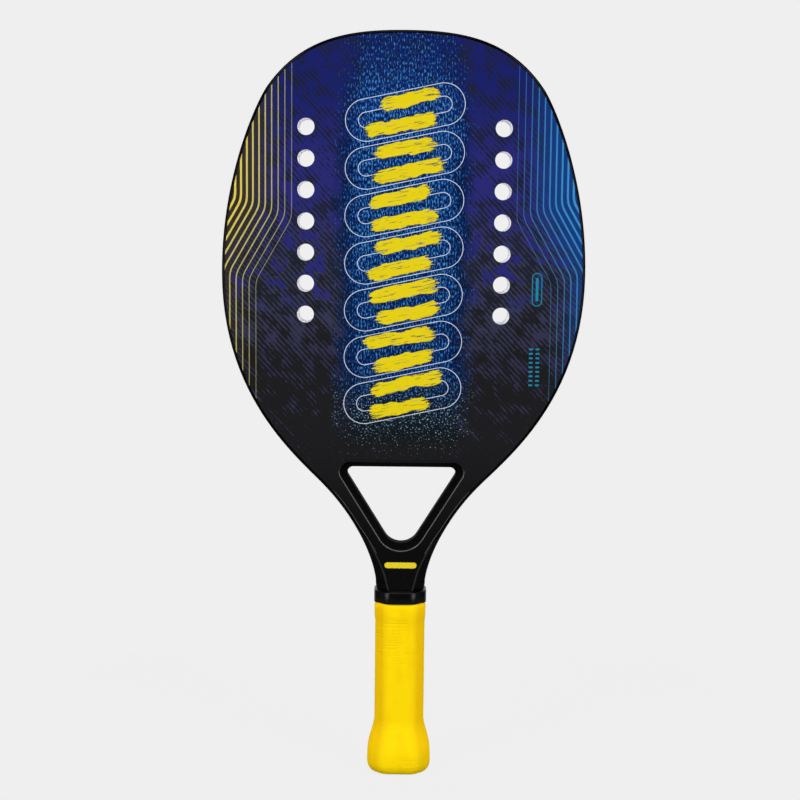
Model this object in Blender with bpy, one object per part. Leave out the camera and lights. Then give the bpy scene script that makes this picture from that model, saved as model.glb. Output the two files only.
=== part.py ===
"""Beach tennis racket, built the way the real one is moulded and assembled.

A hollow fibreglass tube runs round the head and down both sides of the handle. Foam fills the
head and the handle, a laminate skin closes each face, and the handle carries a butt cap, a
cushion sleeve, a grip sleeve and a rubber collar.

Metres. The racket stands upright on its butt: +Z up, the front face towards -Y.
Origin: the middle of the butt cap's end face.
"""
from math import cos, hypot, pi, radians, sin

import bmesh
import bpy
from mathutils import Vector
from mathutils.geometry import interpolate_bezier

# Whole racket
LENGTH = 0.500
HEAD_WIDTH = 0.240
THICKNESS = 0.022
CLEARANCE = 0.0003

# Outline of the head: the shoulder lies below the crown, the widest place below that
CROWN_REACH = 0.034
SHOULDER_DROP = 0.0365
SHOULDER_INSET = 0.030
SHOULDER_ANGLE = radians(54.7)
SHOULDER_REACH_UP = 0.040
SHOULDER_REACH_DOWN = 0.012
WIDEST_DROP = 0.158

# Handle and neck, as heights above the butt
HANDLE_WIDTH = 0.0276
HANDLE_TOP = 0.119
NECK_WIDTH = 0.0334
NECK_RISE = 0.015

# Flank: where the outline leans most, between the head and the neck
FLANK_RISE = 0.0675
FLANK_WIDTH = 0.106
FLANK_ANGLE = radians(45.6)
FLANK_REACH_UP = 0.027
FLANK_REACH_DOWN = 0.043
NECK_REACH = 0.006

# Curve handles beside the widest place, as shares of the height that each one spans
FULLNESS_ABOVE = 0.52
FULLNESS_BELOW = 0.58

# Moulded tube
TUBE_WIDTH = 0.008
TUBE_WALL = 0.0014
RIM_ROUND = 0.0022
RIM_LAND = 0.0003
TUBE_INNER_BEVEL = 0.0005
BORE_LAND = 0.00015
NECK_CHAMFER_WIDTH = 0.0070
NECK_CHAMFER_DEPTH = 0.0055
HANDLE_CHAMFER_WIDTH = 0.0050
HANDLE_CHAMFER_DEPTH = 0.0042
CHAMFER_START_RISE = 0.034
CHAMFER_END_DROP = 0.008
CHAMFER_GROWTH = 1.4

# Laminate skins and the foam between them
SKIN_THICKNESS = 0.0008
HOLE_DIAMETER = 0.0111
HOLE_PITCH = 0.0204
HOLE_ROWS = 7
HOLE_COLUMN_SPACING = 0.1293
HOLE_CENTRE_RISE = 0.0137

# Throat opening, a triangle with round corners
THROAT_RISE = 0.0262
THROAT_HEIGHT = 0.0523
THROAT_HALF_ANGLE = radians(31.95)
THROAT_BOTTOM_RADIUS = 0.0134
THROAT_CORNER_RADIUS = 0.0040
THROAT_EDGE = 0.0040
THROAT_WEB = 0.0084
THROAT_SEAM_DROP = 0.007
BRIDGE_HEIGHT = 0.013

# Grip layers, outwards from the bare handle
CUSHION_THICKNESS = 0.0014
TAPE_THICKNESS = 0.0005
TAPE_LENGTH = 0.0065
TAPE_SQUEEZE = 0.0005
GRIP_THICKNESS = 0.0010
GRIP_LAP = 0.0045
GRIP_CORNER = 0.0030
GRIP_INNER_CORNER = 0.0010

# Butt cap and its flare
CAP_PLATE = 0.0030
FLARE_START = 0.040
FLARE_END = 0.014
FLARE = 0.00475
BUTT_EDGE_HEIGHT = 0.009
BUTT_EDGE_DEPTH = 0.0075
GRIP_END = 0.0006

# Collar over the grip's upper end
COLLAR_WIDTH = 0.0354
COLLAR_DEPTH = 0.0296
COLLAR_RISE = 0.0016
COLLAR_HEIGHT = 0.0085
COLLAR_LIP = 0.0012
COLLAR_FLAT = 0.5

# Staples that hold the butt cap
STAPLE_WIDTH = 0.008
STAPLE_WIRE = 0.0008
STAPLE_LEG = 0.008
STAPLE_HEIGHT = 0.019
STAPLE_WIRE_STEPS = 1

# Places that follow from the sizes above
HALF_DEPTH = THICKNESS / 2
SEAT_DEPTH = HALF_DEPTH - SKIN_THICKNESS - CLEARANCE
NECK_HEIGHT = HANDLE_TOP + NECK_RISE
THROAT_BOTTOM = NECK_HEIGHT + THROAT_RISE
THROAT_TOP = THROAT_BOTTOM + THROAT_HEIGHT
THROAT_SEAM = THROAT_TOP - THROAT_SEAM_DROP
BRIDGE_TOP = THROAT_TOP + BRIDGE_HEIGHT
CHAMFER_START = NECK_HEIGHT + CHAMFER_START_RISE
CHAMFER_END = NECK_HEIGHT - CHAMFER_END_DROP
HANDLE_END = CAP_PLATE + CLEARANCE
GUSSET_END = NECK_HEIGHT - CLEARANCE / 2
HOLE_CENTRE = (LENGTH + BRIDGE_TOP) / 2 + HOLE_CENTRE_RISE
GRIP_GROW = CLEARANCE + CUSHION_THICKNESS + CLEARANCE + GRIP_THICKNESS
CAP_TOP = FLARE_START - BUTT_EDGE_HEIGHT

# Roundness of what is faceted
CURVE_STEPS = 9
RIM_STEPS = 3
ARC_STEPS = 8
HOLE_SIDES = 20
FLARE_STEPS = 7
BUTT_EDGE_STEPS = 3
SHARP_ANGLE = radians(28)
MERGE_DISTANCE = 0.00001


for old in list(bpy.data.objects):
    bpy.data.objects.remove(old)

parts = bpy.data.collections.new("beach_tennis_racket")
cutters = bpy.data.collections.new("cutters")
bpy.context.scene.collection.children.link(parts)
bpy.context.scene.collection.children.link(cutters)


def material(name, colour, roughness, metallic=0.0):
    """A plain Principled material."""
    mat = bpy.data.materials.new(name)
    mat.diffuse_color = (*colour, 1)
    mat.use_nodes = True
    shader = mat.node_tree.nodes["Principled BSDF"]
    shader.inputs["Base Color"].default_value = (*colour, 1)
    shader.inputs["Roughness"].default_value = roughness
    shader.inputs["Metallic"].default_value = metallic
    return mat


def finish(obj, mat=None):
    """Puts a piece in the racket's collection, or a cutter among the cutters."""
    if mat is None:
        cutters.objects.link(obj)
        obj.hide_render = True
        obj.display_type = "WIRE"
        return obj
    parts.objects.link(obj)
    obj.data.materials.append(mat)
    obj.data.shade_smooth()
    obj.data.set_sharp_from_angle(angle=SHARP_ANGLE)
    return obj


def loft(name, rings, mat=None, cyclic=False):
    """A solid through rings of equal count: capped at both ends, or joined end to start."""
    bm = bmesh.new()
    rows = [[bm.verts.new(point) for point in ring] for ring in rings]
    pairs = list(zip(rows, rows[1:]))
    if cyclic:
        pairs.append((rows[-1], rows[0]))
    else:
        bm.faces.new(rows[0])
        bm.faces.new(rows[-1])
    for low, high in pairs:
        for i in range(len(low)):
            j = (i + 1) % len(low)
            bm.faces.new((low[i], low[j], high[j], high[i]))
    bmesh.ops.recalc_face_normals(bm, faces=bm.faces)
    mesh = bpy.data.meshes.new(name)
    bm.to_mesh(mesh)
    bm.free()
    return finish(bpy.data.objects.new(name, mesh), mat)


def plate(name, loops, y_front, y_back, mat=None):
    """A flat piece in the XZ plane: the first loop is its outline, the others are openings."""
    curve = bpy.data.curves.new(name, "CURVE")
    curve.dimensions = "2D"
    curve.fill_mode = "BOTH"
    curve.extrude = (y_back - y_front) / 2
    for loop in loops:
        spline = curve.splines.new("POLY")
        spline.points.add(len(loop) - 1)
        spline.use_cyclic_u = True
        for point, (x, z) in zip(spline.points, loop):
            point.co = (x, z, 0, 1)
    flat = bpy.data.objects.new(name, curve)
    flat.rotation_euler.x = pi / 2
    flat.location.y = (y_front + y_back) / 2
    bpy.context.scene.collection.objects.link(flat)
    depsgraph = bpy.context.evaluated_depsgraph_get()
    mesh = bpy.data.meshes.new_from_object(flat.evaluated_get(depsgraph))
    matrix = flat.matrix_world.copy()
    bpy.data.objects.remove(flat)
    bm = bmesh.new()
    bm.from_mesh(mesh)
    bmesh.ops.remove_doubles(bm, verts=bm.verts, dist=MERGE_DISTANCE)
    bmesh.ops.recalc_face_normals(bm, faces=bm.faces)
    bm.to_mesh(mesh)
    bm.free()
    obj = bpy.data.objects.new(name, mesh)
    obj.matrix_world = matrix
    return finish(obj, mat)


def box(name, low, high):
    """A box cutter between two corners."""
    bm = bmesh.new()
    bmesh.ops.create_cube(bm, size=1)
    size = Vector(high) - Vector(low)
    bmesh.ops.scale(bm, vec=size, verts=bm.verts)
    mesh = bpy.data.meshes.new(name)
    bm.to_mesh(mesh)
    bm.free()
    obj = bpy.data.objects.new(name, mesh)
    obj.location = (Vector(low) + Vector(high)) / 2
    return finish(obj)


def cut(obj, cutter):
    """Takes a cutter out of a piece."""
    boolean = obj.modifiers.new(cutter.name, "BOOLEAN")
    boolean.operation = "DIFFERENCE"
    boolean.solver = "EXACT"
    boolean.object = cutter


def half_outline():
    """Points (x, z) of the right half, from the crown down to the handle's end."""
    half_width = HEAD_WIDTH / 2
    widest = LENGTH - WIDEST_DROP
    shoulder = Vector((half_width - SHOULDER_INSET, LENGTH - SHOULDER_DROP))
    shoulder_way = Vector((cos(SHOULDER_ANGLE), -sin(SHOULDER_ANGLE)))
    flank = Vector((FLANK_WIDTH / 2, NECK_HEIGHT + FLANK_RISE))
    flank_way = Vector((-cos(FLANK_ANGLE), -sin(FLANK_ANGLE)))
    neck = NECK_WIDTH / 2
    handle = HANDLE_WIDTH / 2
    above = FULLNESS_ABOVE * (shoulder.y - widest)
    below = FULLNESS_BELOW * (widest - flank.y)
    pieces = [
        ((0, LENGTH), (CROWN_REACH, LENGTH), shoulder - shoulder_way * SHOULDER_REACH_UP, shoulder),
        (shoulder, shoulder + shoulder_way * SHOULDER_REACH_DOWN, (half_width, widest + above),
         (half_width, widest)),
        ((half_width, widest), (half_width, widest - below), flank - flank_way * FLANK_REACH_UP, flank),
        (flank, flank + flank_way * FLANK_REACH_DOWN, (neck, NECK_HEIGHT + NECK_REACH),
         (neck, NECK_HEIGHT)),
        ((neck, NECK_HEIGHT), (neck, NECK_HEIGHT - NECK_REACH), (handle, HANDLE_TOP + NECK_REACH),
         (handle, HANDLE_TOP)),
    ]
    points = [(0, LENGTH)]
    for start, leave, arrive, end in pieces:
        knots = [Vector(knot).to_3d() for knot in (start, leave, arrive, end)]
        points += [(p.x, p.y) for p in interpolate_bezier(*knots, CURVE_STEPS + 1)[1:]]
    return points + [(handle, HANDLE_END)]


def outline_normals(points):
    """Outward directions at the outline's points."""
    normals = [(0.0, 1.0)]
    for before, after in zip(points, points[2:]):
        dx, dz = after[0] - before[0], after[1] - before[1]
        normals.append((-dz / hypot(dx, dz), dx / hypot(dx, dz)))
    return normals + [(1.0, 0.0)]


OUTLINE = half_outline()
NORMALS = outline_normals(OUTLINE)


def between(start, end, share):
    """A value part of the way from one to another, with the share kept within 0 and 1."""
    return start + (end - start) * min(max(share, 0.0), 1.0)


def chamfer_share(z):
    """0 on the head, where the rim is round, rising to 1 on the neck, where it is chamfered."""
    return between(0.0, 1.0, (CHAMFER_START - z) / (CHAMFER_START - CHAMFER_END)) ** CHAMFER_GROWTH


def edge_size(z):
    """Width and depth of the rounding or chamfer along the outline's edge."""
    share = chamfer_share(z)
    on_neck = (z - HANDLE_TOP) / (CHAMFER_END - HANDLE_TOP)
    width = between(RIM_ROUND, between(HANDLE_CHAMFER_WIDTH, NECK_CHAMFER_WIDTH, on_neck), share)
    depth = between(RIM_ROUND, between(HANDLE_CHAMFER_DEPTH, NECK_CHAMFER_DEPTH, on_neck), share)
    return width, depth


def inset_side(inset):
    """The right half outline drawn in by a distance that may depend on the height."""
    side = []
    for (x, z), (nx, nz) in zip(OUTLINE, NORMALS):
        distance = inset(z)
        side.append((x - nx * distance, z - nz * distance))
    return side


def mirrored(side):
    """A closed loop from its right half, which runs downwards."""
    left = [(-x, z) for x, z in reversed(side) if x > 0]
    return side + left


def slice_of(side, z_low, z_high):
    """The part of a half outline between two heights, with its cut ends on those heights."""
    kept = [side[0]] if z_low < side[0][1] < z_high else []
    for (xa, za), (xb, zb) in zip(side, side[1:]):
        for level in (z_high, z_low):
            if zb <= level < za:
                kept.append((xa + (xb - xa) * (za - level) / (za - zb), level))
        if z_low < zb < z_high:
            kept.append((xb, zb))
    return kept


def half_width_at(z):
    """Half the bare racket's width at a height on the neck or handle."""
    for (xa, za), (xb, zb) in zip(OUTLINE, OUTLINE[1:]):
        if zb <= z <= za:
            return xa + (xb - xa) * (za - z) / (za - zb)
    return HANDLE_WIDTH / 2


def both_sides(front):
    """A section from its front half, listed from the outer side to the inner side."""
    return [(n, -y) for n, y in front] + [(n, y) for n, y in reversed(front)]


def tube_section(z):
    """The tube's section as (inset, depth): its edge, the step for the skin, its inner side."""
    width, depth = edge_size(z)
    share = chamfer_share(z)
    front = []
    for i in range(RIM_STEPS + 1):
        along = i / RIM_STEPS
        turn = along * pi / 2
        n = width * (along * share + (1 - cos(turn)) * (1 - share))
        y = HALF_DEPTH - depth * (1 - along * share - sin(turn) * (1 - share))
        front.append((n, y))
    step = width + RIM_LAND
    front += [(step, HALF_DEPTH), (step, SEAT_DEPTH)]
    front += [(TUBE_WIDTH - TUBE_INNER_BEVEL, SEAT_DEPTH), (TUBE_WIDTH, SEAT_DEPTH - TUBE_INNER_BEVEL)]
    return both_sides(front)


def bore_section(z):
    """The tube's hollow, one wall inside its section."""
    width, depth = edge_size(z)
    slope = depth / width
    inner = TUBE_WIDTH - TUBE_WALL
    top = SEAT_DEPTH - TUBE_WALL
    shift = TUBE_WALL * hypot(1, slope)
    side = HALF_DEPTH - depth + slope * TUBE_WALL - shift
    corner = (top - HALF_DEPTH + depth + shift) / slope
    corner = min(corner, inner - TUBE_INNER_BEVEL)
    corner = max(corner, TUBE_WALL + BORE_LAND)
    return both_sides([(TUBE_WALL, min(side, top)), (corner, top), (inner, top)])


def swept(section, overrun=0.0):
    """Rings of a section carried round the outline, and past each leg's end by an overrun."""
    rings = []
    stations = list(zip(OUTLINE, NORMALS))
    for mirror in (-1, 1):
        side = reversed(stations) if mirror < 0 else stations[1:]
        for (x, z), (nx, nz) in side:
            past = overrun if z == HANDLE_END else 0.0
            rings.append([(mirror * (x - nx * n), y, z - past - nz * n) for n, y in section(z)])
    return rings


def throat_loop(grow):
    """The throat opening's outline, grown outwards by a distance."""
    tilt = THROAT_HALF_ANGLE
    low = Vector((0, THROAT_BOTTOM + THROAT_BOTTOM_RADIUS))
    high_z = THROAT_TOP - THROAT_CORNER_RADIUS
    reach = THROAT_BOTTOM_RADIUS - THROAT_CORNER_RADIUS + sin(tilt) * (high_z - low.y)
    high_x = reach / cos(tilt)
    corners = [
        (low, THROAT_BOTTOM_RADIUS, -pi + tilt, -tilt),
        (Vector((high_x, high_z)), THROAT_CORNER_RADIUS, -tilt, pi / 2),
        (Vector((-high_x, high_z)), THROAT_CORNER_RADIUS, pi / 2, pi + tilt),
    ]
    points = []
    for centre, radius, start, stop in corners:
        for i in range(ARC_STEPS + 1):
            angle = start + (stop - start) * i / ARC_STEPS
            point = centre + Vector((cos(angle), sin(angle))) * (radius + grow)
            points.append((point.x, point.y))
    return points


def hole_loops():
    """The round holes, in a column on each side."""
    loops = []
    for side in (-1, 1):
        for row in range(HOLE_ROWS):
            x = side * HOLE_COLUMN_SPACING / 2
            z = HOLE_CENTRE + (row - (HOLE_ROWS - 1) / 2) * HOLE_PITCH
            turns = [2 * pi * i / HOLE_SIDES for i in range(HOLE_SIDES)]
            loops.append([(x + cos(t) * HOLE_DIAMETER / 2, z + sin(t) * HOLE_DIAMETER / 2) for t in turns])
    return loops


def octagon(z, sizes, grow=0.0, corner=0.0):
    """A ring at a height: half width, half depth and the half lengths of its flats, grown outwards.

    A corner size rounds each corner with one more point.
    """
    half_width, half_depth, flat_width, flat_depth = sizes
    a, b = half_depth - flat_depth, half_width - flat_width
    a, b = a / hypot(a, b), b / hypot(a, b)
    reach = a * flat_width + b * half_depth + grow
    half_width, half_depth = half_width + grow, half_depth + grow
    flat_width = (reach - b * half_depth) / a
    flat_depth = (reach - a * half_width) / b
    quarter = [(half_width, flat_depth), (flat_width, half_depth)]
    points = quarter + [(-x, y) for x, y in reversed(quarter)]
    points += [(-x, -y) for x, y in quarter] + [(x, -y) for x, y in reversed(quarter)]
    if corner:
        points = [p for i in range(len(points)) for p in rounded(points, i, corner)]
    return [(x, y, z) for x, y in points]


def rounded(points, i, corner):
    """Three points in place of a corner: the ends and the middle of a curve that rounds it."""
    here = Vector(points[i])
    before = (Vector(points[i - 1]) - here).normalized() * corner
    after = (Vector(points[(i + 1) % len(points)]) - here).normalized() * corner
    return [here + before, here + (before + after) / 4, here + after]


def bare_sizes(z):
    """The bare handle's or neck's octagon at a height."""
    width, depth = edge_size(z)
    half_width = half_width_at(z)
    return half_width, HALF_DEPTH, half_width - width, HALF_DEPTH - depth


def handle_ring(z, grow, corner=0.0):
    """A ring round the bare handle or neck, a distance outside it."""
    return octagon(z, bare_sizes(z), grow, corner)


def flare(z):
    """How far the butt stands out beyond the straight grip at a height."""
    share = between(0.0, 1.0, (FLARE_START - z) / (FLARE_START - FLARE_END))
    out = FLARE * share * share * (3 - 2 * share)
    below = max(BUTT_EDGE_HEIGHT - z, 0.0) / BUTT_EDGE_HEIGHT
    return out - BUTT_EDGE_DEPTH * (1 - (1 - below * below) ** 0.5)


def flare_heights(low):
    """Heights at which the butt's curve is drawn, from the lowest to the flare's start."""
    heights = []
    for i in range(BUTT_EDGE_STEPS + 1):
        heights.append(low + (BUTT_EDGE_HEIGHT - low) * (1 - cos(i * pi / 2 / BUTT_EDGE_STEPS)))
    for i in range(FLARE_STEPS + 1):
        heights.append(between(FLARE_END, FLARE_START, i / FLARE_STEPS))
    return heights


skin_blue = material("painted_blue_laminate", (0.02, 0.022, 0.11), 0.32)
rim_black = material("satin_black_fibreglass", (0.008, 0.008, 0.010), 0.42)
foam_white = material("pale_eva_foam", (0.78, 0.75, 0.80), 0.85)
foam_grey = material("grey_pu_foam", (0.22, 0.22, 0.23), 0.9)
cap_nylon = material("yellow_nylon", (0.85, 0.62, 0.0), 0.5)
cushion_black = material("black_cushion_foam", (0.03, 0.03, 0.03), 0.9)
tape_white = material("white_cloth_tape", (0.7, 0.7, 0.66), 0.8)
grip_yellow = material("yellow_grip_leather", (0.95, 0.66, 0.0), 0.62)
rubber_black = material("black_rubber", (0.012, 0.012, 0.013), 0.5)
staple_steel = material("zinc_plated_steel", (0.6, 0.6, 0.62), 0.3, 1.0)


def infill(name, z_low, z_high, mat, openings=()):
    """A piece that fills the space inside the tube between two heights, up to the skins."""
    side = inset_side(lambda z: TUBE_WIDTH + CLEARANCE)
    loop = mirrored(slice_of(side, z_low, z_high))
    return plate(name, [loop, *openings], -SEAT_DEPTH, SEAT_DEPTH, mat)


def make_frame_tube():
    """The hollow moulded tube, open at both ends inside the butt cap."""
    tube = loft("frame_tube", swept(tube_section), rim_black)
    cut(tube, loft("tube_bore", swept(bore_section, CAP_PLATE)))


def make_head():
    """The foam core with its holes, the bridge above the throat and the gusset below it."""
    infill("foam_core", BRIDGE_TOP + CLEARANCE / 2, LENGTH, foam_white, hole_loops())
    bridge = infill("throat_bridge", THROAT_SEAM + CLEARANCE / 2, BRIDGE_TOP - CLEARANCE / 2, rim_black)
    gusset = infill("throat_gusset", GUSSET_END + CLEARANCE, THROAT_SEAM - CLEARANCE / 2, rim_black)
    walls = [(-THICKNESS, THROAT_EDGE), (-SEAT_DEPTH, THROAT_EDGE), (-THROAT_WEB / 2, 0)]
    walls += [(-y, grow) for y, grow in reversed(walls)]
    rings = [[(x, y, z) for x, z in throat_loop(grow)] for y, grow in walls]
    opening = loft("throat_opening", rings)
    cut(bridge, opening)
    cut(gusset, opening)
    return infill("handle_core", HANDLE_END, GUSSET_END, foam_grey)


def make_skins():
    """The two laminate skins, let into the tube's step, down to the handle's end."""
    side = inset_side(lambda z: edge_size(z)[0] + RIM_LAND + CLEARANCE)
    loops = [mirrored(side), throat_loop(THROAT_EDGE), *hole_loops()]
    inside = HALF_DEPTH - SKIN_THICKNESS
    front = plate("front_skin", loops, -HALF_DEPTH, -inside, skin_blue)
    back = plate("back_skin", loops, inside, HALF_DEPTH, skin_blue)
    return front, back


def make_butt_cap():
    """A flared cup over the handle's end, closed below."""
    rings = []
    inside = GRIP_THICKNESS + CLEARANCE
    for z in flare_heights(0.0):
        if z < CAP_TOP:
            rings.append(handle_ring(z, GRIP_GROW + flare(z) - inside))
    rings.append(handle_ring(CAP_TOP, GRIP_GROW + flare(CAP_TOP) - inside))
    rings.append(handle_ring(CAP_TOP, CLEARANCE))
    rings.append(handle_ring(CAP_PLATE, CLEARANCE))
    return loft("butt_cap", rings, cap_nylon)


def make_grip():
    """Cushion sleeve, the tape round its upper end, and the grip sleeve over all of it."""
    tape_start = HANDLE_TOP - TAPE_LENGTH
    cushion_out = CLEARANCE + CUSHION_THICKNESS
    squeezed = cushion_out - TAPE_SQUEEZE
    low = CAP_TOP + CLEARANCE
    loft("grip_cushion", [
        handle_ring(low, cushion_out), handle_ring(tape_start, cushion_out),
        handle_ring(tape_start, squeezed), handle_ring(HANDLE_TOP, squeezed),
        handle_ring(HANDLE_TOP, CLEARANCE), handle_ring(low, CLEARANCE),
    ], cushion_black, cyclic=True)
    tape_in = squeezed + CLEARANCE
    tape_out = tape_in + TAPE_THICKNESS
    loft("cushion_tape", [
        handle_ring(tape_start + CLEARANCE, tape_out), handle_ring(HANDLE_TOP, tape_out),
        handle_ring(HANDLE_TOP, tape_in), handle_ring(tape_start + CLEARANCE, tape_in),
    ], tape_white, cyclic=True)
    bulge = tape_out + CLEARANCE + GRIP_THICKNESS
    lap = CLEARANCE + GRIP_THICKNESS
    outer = [(z, GRIP_GROW + flare(z)) for z in flare_heights(GRIP_END)]
    outer += [(tape_start - TAPE_LENGTH, GRIP_GROW), (tape_start, bulge), (HANDLE_TOP + CLEARANCE, bulge),
              (HANDLE_TOP + GRIP_THICKNESS, lap), (HANDLE_TOP + GRIP_LAP / 2, lap),
              (HANDLE_TOP + GRIP_LAP, lap)]
    rings = [handle_ring(z, grow, GRIP_CORNER) for z, grow in outer]
    inner = [(z, grow - GRIP_THICKNESS) for z, grow in reversed(outer)]
    rings += [handle_ring(z, grow, GRIP_INNER_CORNER) for z, grow in inner]
    loft("grip_sleeve", rings, grip_yellow, cyclic=True)


def make_collar():
    """A rubber collar over the neck and the grip's upper end."""
    low = HANDLE_TOP + COLLAR_RISE
    lap_end = HANDLE_TOP + GRIP_LAP + CLEARANCE
    top = low + COLLAR_HEIGHT
    half_width = COLLAR_WIDTH / 2
    half_depth = COLLAR_DEPTH / 2
    sizes = (half_width, half_depth, half_width * COLLAR_FLAT, half_depth * COLLAR_FLAT)
    over_grip = CLEARANCE + GRIP_THICKNESS + CLEARANCE
    rings = [
        octagon(low, sizes), octagon(top - COLLAR_LIP, sizes), handle_ring(top, GRIP_THICKNESS),
        handle_ring(top, CLEARANCE), handle_ring(lap_end, CLEARANCE),
        handle_ring(lap_end, over_grip), handle_ring(low, over_grip),
    ]
    loft("grip_collar", rings, rubber_black, cyclic=True)


def make_staples(cap, skins, core):
    """A wire staple through the cap, the skin and the handle's foam, front and back."""
    surface = HALF_DEPTH + GRIP_GROW + flare(STAPLE_HEIGHT) - GRIP_THICKNESS - CLEARANCE
    for name, side, skin in (("butt_staple_front", -1, skins[0]), ("butt_staple_back", 1, skins[1])):
        crown = side * (surface - STAPLE_WIRE / 2 - CLEARANCE)
        tip = crown - side * STAPLE_LEG
        half = STAPLE_WIDTH / 2
        wire = bpy.data.curves.new(name, "CURVE")
        wire.dimensions = "3D"
        wire.bevel_depth = STAPLE_WIRE / 2
        wire.bevel_resolution = STAPLE_WIRE_STEPS
        wire.use_fill_caps = True
        spline = wire.splines.new("POLY")
        spline.points.add(3)
        route = [(-half, tip), (-half, crown), (half, crown), (half, tip)]
        for point, (x, y) in zip(spline.points, route):
            point.co = (x, y, STAPLE_HEIGHT, 1)
        staple = bpy.data.objects.new(name, wire)
        parts.objects.link(staple)
        wire.materials.append(staple_steel)
        room = STAPLE_WIRE / 2 + CLEARANCE
        outside = side * (surface + FLARE)
        bottom = crown - side * room
        lows = min(outside, bottom), max(outside, bottom)
        slot = box(name + "_slot", (-half - room, lows[0], STAPLE_HEIGHT - room),
                   (half + room, lows[1], STAPLE_HEIGHT + room))
        cut(cap, slot)
        end = tip - side * room
        for x in (-half, half):
            reach = min(outside, end), max(outside, end)
            leg = box(name + "_leg", (x - room, reach[0], STAPLE_HEIGHT - room),
                      (x + room, reach[1], STAPLE_HEIGHT + room))
            for piece in (cap, skin, core):
                cut(piece, leg)


make_frame_tube()
handle_core = make_head()
skin_pair = make_skins()
butt_cap = make_butt_cap()
make_grip()
make_collar()
make_staples(butt_cap, skin_pair, handle_core)
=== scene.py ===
"""Looks of the beach tennis racket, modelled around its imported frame.

Metres. The racket stands on its butt: +Z up, the front face towards -Y.
"""
from math import atan2, cos, hypot, pi, radians, sin, tan

import bmesh
import bpy
from mathutils import Matrix, Vector
from mathutils.geometry import interpolate_bezier


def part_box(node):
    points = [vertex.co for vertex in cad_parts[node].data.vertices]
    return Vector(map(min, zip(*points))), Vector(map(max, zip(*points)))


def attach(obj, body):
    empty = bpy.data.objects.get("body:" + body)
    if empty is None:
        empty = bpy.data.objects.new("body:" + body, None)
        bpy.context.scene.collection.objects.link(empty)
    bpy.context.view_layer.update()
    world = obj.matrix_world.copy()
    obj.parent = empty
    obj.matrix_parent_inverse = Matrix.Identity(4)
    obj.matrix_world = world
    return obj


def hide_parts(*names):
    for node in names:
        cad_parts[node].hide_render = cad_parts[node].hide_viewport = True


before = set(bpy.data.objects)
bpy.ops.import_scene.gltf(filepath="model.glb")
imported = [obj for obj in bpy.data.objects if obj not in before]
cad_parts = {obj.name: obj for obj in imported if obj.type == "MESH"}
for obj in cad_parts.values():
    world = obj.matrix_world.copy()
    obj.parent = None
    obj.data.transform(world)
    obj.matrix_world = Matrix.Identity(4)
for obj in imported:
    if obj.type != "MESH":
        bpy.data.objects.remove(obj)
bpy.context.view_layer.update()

# Sizes of the racket and of its hidden pieces, from the frame
TUBE_LOW, TUBE_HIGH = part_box("frame_tube")
LENGTH = TUBE_HIGH.z
HALF_WIDTH = TUBE_HIGH.x
HALF_DEPTH = TUBE_HIGH.y
HANDLE_END = TUBE_LOW.z
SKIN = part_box("front_skin")[1].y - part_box("front_skin")[0].y
CORE_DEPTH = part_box("foam_core")[1].y
BRIDGE_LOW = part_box("throat_bridge")[0].z
BRIDGE_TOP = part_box("throat_bridge")[1].z
CORE_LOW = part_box("foam_core")[0].z
GUSSET_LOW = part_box("throat_gusset")[0].z

# Corners this close are merged, and places this close count as the same
MERGE = 0.000002
TOUCH = 0.00001
# A face looks along an axis if its normal passes this share, and so does a block's outer corner
FACING = 0.9

# Outline: crown, shoulder, widest place, flank, neck and handle
CROWN_REACH = 0.034
SHOULDER_DROP = 0.0365
SHOULDER_INSET = 0.030
SHOULDER_ANGLE = radians(54.7)
SHOULDER_REACH_UP = 0.040
SHOULDER_REACH_DOWN = 0.012
WIDEST_DROP = 0.158
HANDLE_WIDTH = 0.0276
HANDLE_TOP = 0.119
NECK_WIDTH = 0.0334
NECK_HEIGHT = 0.134
FLANK_RISE = 0.0675
FLANK_WIDTH = 0.106
FLANK_ANGLE = radians(45.6)
FLANK_REACH_UP = 0.027
FLANK_REACH_DOWN = 0.043
NECK_REACH = 0.006
FULLNESS_ABOVE = 0.52
FULLNESS_BELOW = 0.58
OUTLINE_STEPS = 26

# Rim: a narrow edge with two soft corners on the head, a wide chamfer on the neck and handle
TUBE_WIDTH = 0.008
RIM_TONGUE = 0.0015
FOAM_PLAY = 0.0003
EDGE_ON_HEAD = 0.00129
SOFTNESS_ON_HEAD = 0.0006
EDGE_WIDTH_ON_NECK = 0.0072
EDGE_DEPTH_ON_NECK = 0.0055
SOFTNESS_ON_NECK = 0.0007
RIM_LAND = 0.0002
EDGE_START_RISE = 0.0375
EDGE_END_DROP = 0.003
EDGE_GROWTH = 1.08
CORNER_STEPS = 6

# Holes
HOLE_RADIUS = 0.00555
HOLE_PITCH = 0.0204
HOLE_ROWS = 7
HOLE_SIDE = 0.06465
HOLE_CENTRE = 0.37645
HOLE_SIDES = 64
HOLE_EDGE = 0.00022

# Throat opening
THROAT_BOTTOM = 0.1602
THROAT_TOP = 0.2125
THROAT_HALF_ANGLE = radians(31.95)
THROAT_BOTTOM_RADIUS = 0.0127
THROAT_CORNER_RADIUS = 0.0040
THROAT_EDGE = 0.0040
THROAT_WEB = 0.0042
THROAT_CREASE = 0.00076
THROAT_CREASE_ANGLE = 1.0
THROAT_CORNER_REACH = 0.32
THROAT_MARGIN = 0.006
THROAT_HALF_SPAN = 0.048
ARC_STEPS = 24
# The web's round corner: depths beyond the web, and how far it stands out
WEB_CORNER = ((0.0007, 0.00041), (0.00025, 0.00012), (-0.0002, 0.0))

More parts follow.
